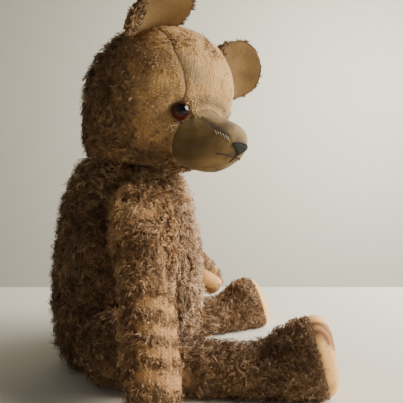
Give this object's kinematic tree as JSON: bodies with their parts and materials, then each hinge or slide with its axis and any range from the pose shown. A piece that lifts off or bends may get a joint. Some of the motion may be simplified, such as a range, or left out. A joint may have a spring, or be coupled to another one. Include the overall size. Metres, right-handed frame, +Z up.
{
  "type": "threadbare teddy bear",
  "caption": "Sitting mohair teddy bear, worn to its backing, with glass eyes, felt pads and a head, arms and legs that turn on disc joints.",
  "frame": {"origin": "middle of the flat under the seat, on the surface that the bear sits on", "axes": "+X to the front of the body, +Y to the bear's left, +Z up"},
  "size_m": [0.2563, 0.2979, 0.3405],
  "materials": {
    "mohair": "curly worn plush",
    "face_mohair": "woven backing with thin pile",
    "muzzle_velvet": "worn velvet",
    "ear_velvet": "velvet",
    "felt": "worn felt",
    "eye_glass": "red-brown glass with a black pupil",
    "nose_thread": "worn dark thread",
    "mouth_thread": "dark red-brown thread",
    "wood_wool": "fine wood shavings",
    "fibreboard": "pressed board",
    "steel": "dull wire and sheet"
  },
  "bodies": {
    "torso": {"body_cover": "mohair", "body_stuffing": "wood_wool", "neck_body_disc": "fibreboard", "neck_body_washer": "steel", "shoulder_left_body_disc": "fibreboard", "shoulder_left_body_washer": "steel", "shoulder_right_body_disc": "fibreboard", "shoulder_right_body_washer": "steel", "hip_left_body_disc": "fibreboard", "hip_left_body_washer": "steel", "hip_right_body_disc": "fibreboard", "hip_right_body_washer": "steel"},
    "head": {"head_cover": "face_mohair", "muzzle_cover": "muzzle_velvet", "ear_left_front": "ear_velvet", "ear_left_back": "mohair", "eye_left": "eye_glass", "eye_left_shank": "steel", "ear_right_front": "ear_velvet", "ear_right_back": "mohair", "eye_right": "eye_glass", "eye_right_shank": "steel", "nose_stitching": "nose_thread", "mouth_stitching": "mouth_thread", "head_stuffing": "wood_wool", "neck_outer_disc": "fibreboard", "neck_outer_washer": "steel", "neck_cotter_pin": "steel"},
    "arm_left": {"arm_left_cover": "mohair", "arm_left_pad": "felt", "arm_left_stuffing": "wood_wool", "shoulder_left_outer_disc": "fibreboard", "shoulder_left_outer_washer": "steel", "shoulder_left_cotter_pin": "steel"},
    "arm_right": {"arm_right_cover": "mohair", "arm_right_pad": "felt", "arm_right_stuffing": "wood_wool", "shoulder_right_outer_disc": "fibreboard", "shoulder_right_outer_washer": "steel", "shoulder_right_cotter_pin": "steel"},
    "leg_left": {"leg_left_cover": "mohair", "leg_left_pad": "felt", "leg_left_stuffing": "wood_wool", "hip_left_outer_disc": "fibreboard", "hip_left_outer_washer": "steel", "hip_left_cotter_pin": "steel"},
    "leg_right": {"leg_right_cover": "mohair", "leg_right_pad": "felt", "leg_right_stuffing": "wood_wool", "hip_right_outer_disc": "fibreboard", "hip_right_outer_washer": "steel", "hip_right_cotter_pin": "steel"}
  },
  "joints": [
    {"name": "neck_turn", "type": "hinge", "parent": "torso", "child": "head", "pos_m": [0, 0, 0.203], "axis": [0.1045, 0, 0.9945], "continuous": true},
    {"name": "shoulder_left_swing", "type": "hinge", "parent": "torso", "child": "arm_left", "pos_m": [0.012, 0.054, 0.147], "axis": [0, 0.9397, 0.342], "range_deg": [-58, 100]},
    {"name": "shoulder_right_swing", "type": "hinge", "parent": "torso", "child": "arm_right", "pos_m": [0.012, -0.054, 0.147], "axis": [0, 0.9397, -0.342], "range_deg": [-94, 64]},
    {"name": "hip_left_swing", "type": "hinge", "parent": "torso", "child": "leg_left", "pos_m": [-0.004, 0.038, 0.034], "axis": [-0.1908, 0.9816, 0], "range_deg": [-12, 92]},
    {"name": "hip_right_swing", "type": "hinge", "parent": "torso", "child": "leg_right", "pos_m": [-0.004, -0.038, 0.034], "axis": [0.2504, 0.9681, 0], "range_deg": [-18, 92]}
  ]
}
